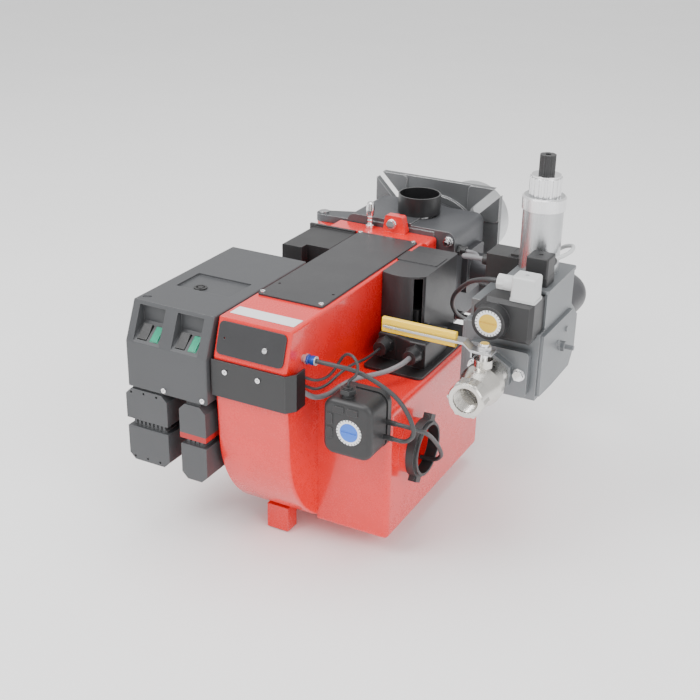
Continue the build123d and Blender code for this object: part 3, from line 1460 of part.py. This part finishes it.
# ---------------------------------------------------------------- squirrel-cage fan wheel on its shaft
wheel_back_x = -18
back_disc_t = 2.5
end_ring_t = 3
blade_turn = 28
shaft_left = -housing_half - 24
with BuildPart() as fan_wheel:
    with BuildSketch(side_plane(wheel_back_x)):
        with Locations((fan_axis_y, fan_axis_z)):
            Circle(fan_r)
    extrude(amount=back_disc_t)
    with BuildSketch(side_plane(wheel_back_x)):
        with Locations((fan_axis_y, fan_axis_z)):
            with PolarLocations((fan_r + fan_eye_r) / 2, fan_blades):
                Rectangle(fan_r - fan_eye_r - 3, fan_blade_t, rotation=blade_turn)
    extrude(amount=fan_width)
    with BuildSketch(side_plane(wheel_back_x + fan_width - end_ring_t)):
        with Locations((fan_axis_y, fan_axis_z)):
            Circle(fan_r)
            Circle(fan_eye_r + 4, mode=Mode.SUBTRACT)
    extrude(amount=end_ring_t)
    with BuildSketch(side_plane(wheel_back_x)):
        with Locations((fan_axis_y, fan_axis_z)):
            Circle(fan_hub_r)
    extrude(amount=24)
    with BuildSketch(side_plane(shaft_left)):
        with Locations((fan_axis_y, fan_axis_z)):
            Circle(shaft_r)
    extrude(amount=wheel_back_x + 28 - shaft_left)
save(fan_wheel, "fan_wheel")

# ---------------------------------------------------------------- ignition transformer at the back left
trafo_plate_t = 5
with BuildPart() as ignition_transformer:
    plate_rear_y = rear_front_y
    with Locations(((-140 - 60) / 2, plate_rear_y - trafo_plate_t / 2, (housing_top + 5) / 2)):
        Box(80, trafo_plate_t, housing_top - 5)
    with Locations((-115, (plate_rear_y - trafo_plate_t - 286) / 2, 35)):
        Box(34, 286 + plate_rear_y - trafo_plate_t, 50)
    with Locations(((-98 - 58) / 2, (plate_rear_y - trafo_plate_t - 270) / 2, 45)):
        Box(40, 270 + plate_rear_y - trafo_plate_t, 30)
    fillet(edges().filter_by(Axis.Y).filter_by(lambda e: e.length > 40), 2)
save(ignition_transformer, "ignition_transformer")

# ---------------------------------------------------------------- locking plunger on the rear frame
with BuildPart() as locking_plunger:
    with BuildSketch(Plane.XZ):
        with BuildLine():
            Polyline(
                (0, housing_top - 6), (plunger_r, housing_top - 6), (plunger_r, housing_top + touch),
                (plunger_r + 2.5, housing_top + touch), (plunger_r + 2.5, housing_top + 5),
                (plunger_r, housing_top + 6), (plunger_r - 1, housing_top + 9), (plunger_r, housing_top + 12),
                (plunger_r - 1, housing_top + 15), (plunger_r, housing_top + 18), (plunger_r - 1, 82),
                (6, 84), (6.8, 92), (5.6, 103), (3.5, 105), (0, 105), close=True,
            )
        make_face()
    revolve(axis=Axis.Z)
locking_plunger.part.locate(Location((plunger_x, plunger_y, 0)))
save(locking_plunger, "locking_plunger")

# ---------------------------------------------------------------- screws of the burner
head_r = 3.6
head_h = 2


def screw_head(plane):
    """Round screw head with a cross recess, seated on a plane at its origin."""
    with BuildPart() as head:
        with BuildSketch(plane):
            Circle(head_r)
        extrude(amount=head_h)
        with BuildSketch(plane.offset(head_h)):
            Rectangle(4, 0.9)
            Rectangle(0.9, 4)
        extrude(amount=-1, mode=Mode.SUBTRACT)
    return head.part


with BuildPart() as housing_screws:
    for x in (-lid_half + 5, lid_half - 5):
        for y in (lid_front_y + 6, lid_rear_y - 6):
            add(screw_head(Plane(origin=(x, y, housing_top + lid_t), z_dir=(0, 0, 1))))
    plate_screw = slant_plane.offset(2.5).from_local_coords((22, -4, 0))
    add(screw_head(Plane(origin=plate_screw, x_dir=(1, 0, 0), z_dir=slant_plane.z_dir)))
    for x in (-34, 16):
        add(screw_head(Plane(origin=(x, slant_y - 1, -5), x_dir=(1, 0, 0), z_dir=(0, -1, 0))))
    for x in (-128, -66):
        add(screw_head(Plane(origin=(x, cab_slant_y, cab_bottom + 6), x_dir=(1, 0, 0), z_dir=(0, -1, 0))))
    # closing bolt through the ear, with washer
    ear_plane = Plane(origin=(-8, back_y - 14, 77), x_dir=(1, 0, 0), z_dir=(0, -1, 0))
    with BuildSketch(ear_plane):
        Circle(8)
    extrude(amount=1.6)
    with BuildSketch(ear_plane.offset(1.6)):
        RegularPolygon(6.5, 6, major_radius=False)
    extrude(amount=5)
    with BuildSketch(ear_plane):
        Circle(3.9)
    extrude(amount=-13.7)
save(housing_screws, "housing_screws")
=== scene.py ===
"""Industrial gas burner: looks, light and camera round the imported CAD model."""
import math

import bmesh
import bpy
from mathutils import Matrix, Vector


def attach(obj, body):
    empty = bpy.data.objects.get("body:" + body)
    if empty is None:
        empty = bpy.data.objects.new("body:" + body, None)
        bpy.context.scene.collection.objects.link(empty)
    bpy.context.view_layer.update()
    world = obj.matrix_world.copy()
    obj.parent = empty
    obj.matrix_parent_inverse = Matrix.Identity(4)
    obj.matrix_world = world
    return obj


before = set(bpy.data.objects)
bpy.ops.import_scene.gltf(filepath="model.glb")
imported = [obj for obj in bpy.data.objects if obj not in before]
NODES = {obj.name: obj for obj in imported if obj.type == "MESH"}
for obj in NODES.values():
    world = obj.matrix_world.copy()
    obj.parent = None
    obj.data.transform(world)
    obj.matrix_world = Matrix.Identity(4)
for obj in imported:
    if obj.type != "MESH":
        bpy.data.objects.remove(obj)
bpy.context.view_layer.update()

# ------------------------------------------------------------------ camera
CAMERA_PLACE = Vector((0.7438, -1.7438, 0.6574))
CAMERA_AZIMUTH = math.radians(27.42)
CAMERA_ELEVATION = math.radians(24.47)
CAMERA_ROLL = math.radians(1.16)
CAMERA_LENS_MM = 60.84


def add_camera():
    """Camera at the photograph's place and angle."""
    forward = Vector((
        -math.sin(CAMERA_AZIMUTH) * math.cos(CAMERA_ELEVATION),
        math.cos(CAMERA_AZIMUTH) * math.cos(CAMERA_ELEVATION),
        -math.sin(CAMERA_ELEVATION),
    ))
    level_right = forward.cross(Vector((0, 0, 1))).normalized()
    level_up = level_right.cross(forward)
    right = math.cos(CAMERA_ROLL) * level_right + math.sin(CAMERA_ROLL) * level_up
    up = -math.sin(CAMERA_ROLL) * level_right + math.cos(CAMERA_ROLL) * level_up
    data = bpy.data.cameras.new("camera")
    data.lens = CAMERA_LENS_MM
    data.sensor_width = 36
    data.sensor_fit = "HORIZONTAL"
    data.clip_end = 20
    camera = bpy.data.objects.new("camera", data)
    turn = Matrix((right, up, -forward)).transposed().to_4x4()
    camera.matrix_world = Matrix.Translation(CAMERA_PLACE) @ turn
    bpy.context.collection.objects.link(camera)
    bpy.context.scene.camera = camera


add_camera()


# ------------------------------------------------------------------ shader helpers
class Shader:
    """Small builder for one node material."""

    def __init__(self, name):
        self.material = bpy.data.materials.new(name)
        self.material.use_nodes = True
        self.tree = self.material.node_tree
        self.bsdf = self.tree.nodes["Principled BSDF"]
        self.coords = self.tree.nodes.new("ShaderNodeTexCoord").outputs["Object"]

    def link(self, value, socket):
        """Connects an output, or sets a constant."""
        if isinstance(value, bpy.types.NodeSocket):
            self.tree.links.new(value, socket)
        else:
            socket.default_value = value

    def maths(self, operation, *values):
        """One Math node."""
        node = self.tree.nodes.new("ShaderNodeMath")
        node.operation = operation
        for value, socket in zip(values, node.inputs):
            self.link(value, socket)
        return node.outputs[0]

    def noise(self, scale, detail=4.0, roughness=0.55, stretch=(1, 1, 1)):
        """Noise value from 0 to 1 in object coordinates."""
        mapping = self.tree.nodes.new("ShaderNodeMapping")
        mapping.inputs["Scale"].default_value = stretch
        self.tree.links.new(self.coords, mapping.inputs["Vector"])
        node = self.tree.nodes.new("ShaderNodeTexNoise")
        node.inputs["Scale"].default_value = scale
        node.inputs["Detail"].default_value = detail
        node.inputs["Roughness"].default_value = roughness
        self.tree.links.new(mapping.outputs[0], node.inputs["Vector"])
        return node.outputs[0]

    def ramp(self, value, low, high, out_low=0.0, out_high=1.0):
        """Maps low..high to out_low..out_high, clamped."""
        node = self.tree.nodes.new("ShaderNodeMapRange")
        node.clamp = True
        for key, number in (("From Min", low), ("From Max", high), ("To Min", out_low), ("To Max", out_high)):
            node.inputs[key].default_value = number
        self.link(value, node.inputs["Value"])
        return node.outputs[0]

    def mix(self, factor, colour_a, colour_b):
        """Colour mix of two colours or colour outputs."""
        node = self.tree.nodes.new("ShaderNodeMix")
        node.data_type = "RGBA"
        self.link(factor, node.inputs[0])
        self.link(rgba(colour_a), node.inputs[6])
        self.link(rgba(colour_b), node.inputs[7])
        return node.outputs[2]

    def axis(self, index):
        """One object coordinate, in metres."""
        node = self.tree.nodes.new("ShaderNodeSeparateXYZ")
        self.tree.links.new(self.coords, node.inputs[0])
        return node.outputs[index]

    def inside(self, index, low, high):
        """1 where the coordinate lies between low and high."""
        value = self.axis(index)
        return self.maths(
            "MULTIPLY", self.maths("GREATER_THAN", value, low), self.maths("LESS_THAN", value, high)
        )

    def edge(self, radius):
        """1 on the object's sharp edges, fading to 0 beside them; also the rounded normal."""
        bevel = self.tree.nodes.new("ShaderNodeBevel")
        bevel.samples = 4
        bevel.inputs["Radius"].default_value = radius
        geometry = self.tree.nodes.new("ShaderNodeNewGeometry")
        dot = self.tree.nodes.new("ShaderNodeVectorMath")
        dot.operation = "DOT_PRODUCT"
        self.tree.links.new(bevel.outputs[0], dot.inputs[0])
        self.tree.links.new(geometry.outputs["Normal"], dot.inputs[1])
        return self.ramp(dot.outputs["Value"], 0.99, 0.86), bevel.outputs[0]

    def bump(self, height, strength, distance, normal=None):
        """Bump normal from a height."""
        node = self.tree.nodes.new("ShaderNodeBump")
        node.inputs["Strength"].default_value = strength
        node.inputs["Distance"].default_value = distance
        self.link(height, node.inputs["Height"])
        if normal is not None:
            self.tree.links.new(normal, node.inputs["Normal"])
        return node.outputs[0]


def rgba(colour):
    """A three-number colour with alpha, or an output as it is."""
    if isinstance(colour, bpy.types.NodeSocket):
        return colour
    return (*colour[:3], 1.0)


def finish_shader(shader, colour, rough, metallic=0.0, coat=0.0, spread=0.06, grain=900.0,
                  grain_bump=0.15, edge_light=0.25, edge_radius=0.0008, stretch=(1, 1, 1), specular=0.5):
    """Shared build-up: colour variation, painted highlight lightening the edges in patches, uneven roughness and
    fine grain.
    """
    cloud = shader.noise(14, detail=6)
    fine = shader.noise(grain, detail=3, stretch=stretch)
    if isinstance(colour, bpy.types.NodeSocket):
        varied = shader.mix(shader.ramp(cloud, 0.3, 0.7, 0.0, spread), colour, (0.0, 0.0, 0.0))
    else:
        low = tuple(channel * (1 - spread) for channel in colour)
        high = tuple(min(1.0, channel * (1 + spread)) for channel in colour)
        varied = shader.mix(shader.ramp(cloud, 0.3, 0.7), low, high)
    # painted edge highlight: sharp edges lightened towards pale grey, broken into patches by noise
    painted_edge_highlight, rounded = shader.edge(edge_radius)
    patches = shader.ramp(shader.noise(60), 0.25, 0.7, 0.35 * edge_light, edge_light)
    painted_edge_highlight = shader.maths("MULTIPLY", painted_edge_highlight, patches)
    varied = shader.mix(painted_edge_highlight, varied, (0.85, 0.85, 0.85))
    shader.link(varied, shader.bsdf.inputs["Base Color"])
    shader.link(
        shader.ramp(shader.maths("ADD", cloud, fine), 0.7, 1.3,
                    max(0.02, rough - 0.06), min(1.0, rough + 0.08)),
        shader.bsdf.inputs["Roughness"],
    )
    shader.bsdf.inputs["Metallic"].default_value = metallic
    shader.bsdf.inputs["Specular IOR Level"].default_value = specular
    shader.bsdf.inputs["Coat Weight"].default_value = coat
    shader.bsdf.inputs["Coat Roughness"].default_value = 0.06
    shader.link(shader.bump(fine, grain_bump, 0.0002, rounded), shader.bsdf.inputs["Normal"])
    return shader.material


def finish_material(name, colour, rough, **options):
    """A material with one main colour."""
    return finish_shader(Shader(name), colour, rough, **options)


def banded_material(name, colour, bands, rough, **options):
    """Main colour with other colours inside coordinate bands: (axis, low, high, colour)."""
    shader = Shader(name)
    current = rgba(colour)
    for index, low, high, band in bands:
        current = shader.mix(shader.inside(index, low, high), current, band)
    return finish_shader(shader, current, rough, **options)


X, Y, Z = 0, 1, 2


def dial_material(name, centre, disc, disc_radius, outer_radius, ticks=24):
    """Round dial facing -Y: coloured disc, pale ring and plain dark ticks."""
    shader = Shader(name)
    across = shader.maths("SUBTRACT", shader.axis(X), centre[0])
    up = shader.maths("SUBTRACT", shader.axis(Z), centre[1])
    radius = shader.maths("SQRT", shader.maths(
        "ADD", shader.maths("MULTIPLY", across, across), shader.maths("MULTIPLY", up, up)))
    turn = shader.maths("ARCTAN2", up, across)
    step = shader.maths("FRACT", shader.maths("MULTIPLY", turn, ticks / math.tau))
    tick = shader.maths("LESS_THAN", step, 0.22)
    ring = shader.maths("GREATER_THAN", radius, disc_radius)
    tick_start = 0.5 * (disc_radius + outer_radius)
    tick = shader.maths("MULTIPLY", tick, shader.maths("GREATER_THAN", radius, tick_start))
    colour = shader.mix(ring, rgba(disc), (0.82, 0.83, 0.84))
    colour = shader.mix(tick, colour, (0.03, 0.03, 0.035))
    return finish_shader(shader, colour, 0.34, grain=900, grain_bump=0.12, edge_light=0.1)


RED = (0.78, 0.012, 0.010)
GRAPHITE = (0.060, 0.062, 0.066)
COVER = (0.030, 0.030, 0.032)
BLACK = (0.012, 0.012, 0.013)
SOFT_BLACK = (0.020, 0.020, 0.021)
IRON = (0.105, 0.108, 0.115)
ZINC = (0.56, 0.57, 0.58)
BLOCK = (0.20, 0.21, 0.22)

red = finish_material("red_enamel", RED, 0.26, coat=0.55, spread=0.05, grain=520, grain_bump=0.10,
                      edge_light=0.10, edge_radius=0.0016)
cabinet_plastic = finish_material("cabinet_plastic", GRAPHITE, 0.46, grain=1500, grain_bump=0.30, edge_light=0.12,
                                  edge_radius=0.001)
cover_enamel = finish_material("cover_enamel", COVER, 0.36, grain=1300, grain_bump=0.35, edge_light=0.12)
black_steel = finish_material("black_steel", BLACK, 0.34, coat=0.15, grain=900, edge_light=0.10)
black_plastic = finish_material("black_plastic", SOFT_BLACK, 0.42, grain=1400, grain_bump=0.25, edge_light=0.14)
casting = finish_material("dark_casting", IRON, 0.44, metallic=0.55, grain=420, grain_bump=0.5, edge_light=0.45,
                          edge_radius=0.0014)
flange_iron = finish_material("flange_iron", (0.17, 0.175, 0.18), 0.42, metallic=0.65, grain=420, grain_bump=0.45,
                              edge_light=0.75, edge_radius=0.0016)
zinc = finish_material("galvanised", ZINC, 0.32, metallic=0.95, spread=0.16, grain=260, grain_bump=0.12)
steel = finish_material("steel", (0.50, 0.50, 0.51), 0.30, metallic=1.0, grain=900, stretch=(1, 0.05, 1))
chrome = finish_material("burnished_chrome", (0.80, 0.80, 0.81), 0.16, metallic=1.0, grain=900, grain_bump=0.05)
nickel = finish_material("brushed_nickel", (0.66, 0.64, 0.60), 0.24, metallic=1.0, grain=700, grain_bump=0.12,
                         stretch=(1, 0.1, 1), spread=0.10)
block_grey = finish_material("valve_grey", BLOCK, 0.42, metallic=0.6, grain=700, grain_bump=0.35, edge_light=0.5)
light_plastic = finish_material("light_plastic", (0.56, 0.57, 0.57), 0.34, grain=1200, edge_light=0.2)
yellow = finish_material("yellow_grip", (0.95, 0.60, 0.01), 0.30, coat=0.3, grain=700, grain_bump=0.2, spread=0.04)
hose = finish_material("black_hose", (0.035, 0.036, 0.038), 0.42, grain=1600, grain_bump=0.3)
grey_cable = finish_material("grey_cable", (0.20, 0.20, 0.21), 0.40, grain=1600, grain_bump=0.25)
pipe_black = finish_material("pipe_black", (0.055, 0.055, 0.06), 0.38, metallic=0.4, grain=600, grain_bump=0.3)
ceramic = finish_material("ceramic", (0.78, 0.76, 0.70), 0.22, grain=600)
YELLOW_DIAL = (0.72, 0.46, 0.035)
BLUE_DIAL = (0.035, 0.17, 0.72)
GAS_DIAL_CENTRE = (0.267, 0.075)
AIR_DIAL_CENTRE = (0.133, -0.063)
gas_face = dial_material("gas_dial_face", GAS_DIAL_CENTRE, YELLOW_DIAL, 0.0125, 0.0175)
air_face = dial_material("air_dial_face", AIR_DIAL_CENTRE, BLUE_DIAL, 0.0130, 0.0180)
fitting = banded_material("fitting_blue_nut", (0.60, 0.60, 0.60), [(X, 0.062, 0.074, (0.02, 0.10, 0.50))], 0.28,
                          metallic=0.6, grain=700)
can_banded = banded_material("can_chrome_band", (0.56, 0.57, 0.58), [(Z, 0.194, 0.212, (0.88, 0.88, 0.89))], 0.28,
                             metallic=0.9, grain=900, stretch=(1, 1, 0.02))
socket_contacts = banded_material("plug_sockets", GRAPHITE, [(Z, -0.120, -0.108, (0.42, 0.012, 0.012))], 0.42,
                                  grain=1500, grain_bump=0.3, edge_light=0.12)
green_lens = finish_material("green_lens", (0.0, 0.30, 0.17), 0.14, coat=0.5, grain=300, grain_bump=0.08)

LOOKS = {
    "flange_plate": flange_iron, "blast_tube": zinc, "neck_casting": casting, "neck_glands": black_plastic,
    "hinge_pin": steel, "inlet_sleeve": black_steel, "gas_lance": steel, "diffuser_disc": steel,
    "electrodes": ceramic, "gas_elbow": pipe_black, "valve_body": block_grey, "valve_covers": block_grey,
    "inlet_flange": block_grey, "gas_train_bolts": chrome, "terminal_box": black_plastic,
    "black_connector": black_plastic, "solenoid_can": can_banded, "gas_switch": black_plastic,
    "grey_connector": light_plastic, "ball_valve_body": nickel, "switch_cable": hose, "valve_cable": grey_cable,
    "brake_cable": light_plastic, "fan_housing": red, "housing_lid": cover_enamel, "front_plate": cover_enamel,
    "cable_bracket": black_steel, "intake_box": red, "clamp_ring": black_plastic, "servo_cover": cover_enamel,
    "gland_box": black_plastic, "cable_glands": black_plastic, "air_switch": black_plastic,
    "pressure_fitting": fitting, "pressure_hose": hose, "reference_hose": hose, "switch_lead": hose,
    "servo_lead": hose, "motor_lead": grey_cable, "cabinet": cabinet_plastic, "indicator_lamps": green_lens,
    "plug_sockets": socket_contacts, "fan_motor": black_steel, "ignition_transformer": black_plastic,
    "housing_screws": chrome, "fan_wheel": zinc, "air_damper": zinc, "valve_ball": chrome, "valve_lever": steel,
    "lever_grip": yellow, "brake_knob": chrome, "brake_cap": black_plastic, "gas_dial": gas_face,
    "air_dial": air_face, "rocker_left": black_plastic, "rocker_right": black_plastic,
    "reset_button": black_plastic, "seven_pole_plug": cabinet_plastic, "four_pole_plug": cabinet_plastic,
    "locking_plunger": chrome,
}


def dress(node, material):
    """Gives a carried-over CAD node its material."""
    for material_slot in NODES[node].material_slots:
        material_slot.material = material


for node_name, look in LOOKS.items():
    dress(node_name, look)


# ------------------------------------------------------------------ pieces the solids leave to the render
def add_piece(name, mesh_builder, material, body, bevel=0.0):
    """New mesh piece that rides on a CAD body."""
    mesh = bpy.data.meshes.new(name)
    work = bmesh.new()
    mesh_builder(work)
    bmesh.ops.recalc_face_normals(work, faces=work.faces)
    work.to_mesh(mesh)
    work.free()
    piece = bpy.data.objects.new(name, mesh)
    bpy.context.collection.objects.link(piece)
    mesh.materials.append(material)
    if bevel:
        modifier = piece.modifiers.new("rounded_edges", "BEVEL")
        modifier.width = bevel
        modifier.segments = 2
    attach(piece, body)
    return piece


def box_mesh(low, high):
    """Mesh builder for one box between two corners."""
    def build(work):
        made = bmesh.ops.create_cube(work, size=1.0)
        for vertex in made["verts"]:
            for index in range(3):
                middle = 0.5 * (low[index] + high[index])
                vertex.co[index] = middle + vertex.co[index] * (high[index] - low[index])
    return build


def thread_mesh(centre, radius, start_y, pitch, turns, depth, steps=40):
    """Mesh builder for an internal helical thread along +Y: a ridge that leaves the bore wall."""
    def build(work):
        rows = []
        for step in range(turns * steps + 1):
            angle = math.tau * step / steps
            middle_y = start_y + pitch * step / steps
            row = []
            for reach, offset in ((0.0, -0.42), (-depth, -0.08), (-depth, 0.08), (0.0, 0.42)):
                distance = radius + reach
                row.append(work.verts.new((
                    centre[0] + distance * math.cos(angle), middle_y + offset * pitch,
                    centre[1] + distance * math.sin(angle))))
            rows.append(row)
        for row, following in zip(rows, rows[1:]):
            for index in range(3):
                work.faces.new((row[index], row[index + 1], following[index + 1], following[index]))
    return build


plate_white = finish_material("bare_plate", (0.80, 0.81, 0.82), 0.30, grain=900, grain_bump=0.08,
                              edge_light=0.1)
PLATE_LOW, PLATE_HIGH = (-0.047, -0.560, 0.0631), (0.049, -0.536, 0.0639)
INLET_AXIS = (0.272, 0.0)
INLET_RADIUS = 0.0166
THREAD_START_Y = -0.5215
THREAD_PITCH = 0.0023
THREAD_TURNS = 9
THREAD_DEPTH = 0.0011
add_piece("bare_label_plate", box_mesh(PLATE_LOW, PLATE_HIGH), plate_white, "burner",
          bevel=0.0003)
add_piece("inlet_thread",
          thread_mesh(INLET_AXIS, INLET_RADIUS, THREAD_START_Y, THREAD_PITCH, THREAD_TURNS, THREAD_DEPTH),
          nickel, "flange_unit")

# ------------------------------------------------------------------ studio
FLOOR_Z = -0.283


def add_floor():
    """Large pale floor under the burner."""
    mesh = bpy.data.meshes.new("floor")
    half = 6.0
    corners = [(x * half, y * half, FLOOR_Z) for x, y in ((-1, -1), (1, -1), (1, 1), (-1, 1))]
    mesh.from_pydata(corners, [], [(0, 1, 2, 3)])
    floor = bpy.data.objects.new("floor", mesh)
    bpy.context.collection.objects.link(floor)
    shader = Shader("floor_white")
    shade = shader.ramp(shader.noise(3), 0.3, 0.7)
    shader.link(shader.mix(shade, (0.96, 0.96, 0.96), (0.98, 0.98, 0.98)), shader.bsdf.inputs["Base Color"])
    shader.bsdf.inputs["Roughness"].default_value = 0.9
    mesh.materials.append(shader.material)


def add_light(name, place, target, size, power, colour=(1, 1, 1)):
    """Soft square area light aimed at a point."""
    data = bpy.data.lights.new(name, "AREA")
    data.size = size
    data.energy = power
    data.color = colour
    light = bpy.data.objects.new(name, data)
    light.location = place
    light.rotation_euler = (Vector(target) - Vector(place)).to_track_quat("-Z", "Y").to_euler()
    bpy.context.collection.objects.link(light)


add_floor()
MIDDLE = (0.05, -0.35, 0.0)
add_light("key_light", (-1.2, -2.2, 2.4), MIDDLE, 1.6, 75)
add_light("fill_light", (2.4, -1.4, 1.3), MIDDLE, 1.8, 38)
add_light("top_light", (0.1, -0.1, 2.6), MIDDLE, 1.8, 40)

world = bpy.data.worlds.new("studio")
world.use_nodes = True
world.node_tree.nodes["Background"].inputs["Color"].default_value = (1.0, 1.0, 1.0, 1.0)
world.node_tree.nodes["Background"].inputs["Strength"].default_value = 1.05
bpy.context.scene.world = world
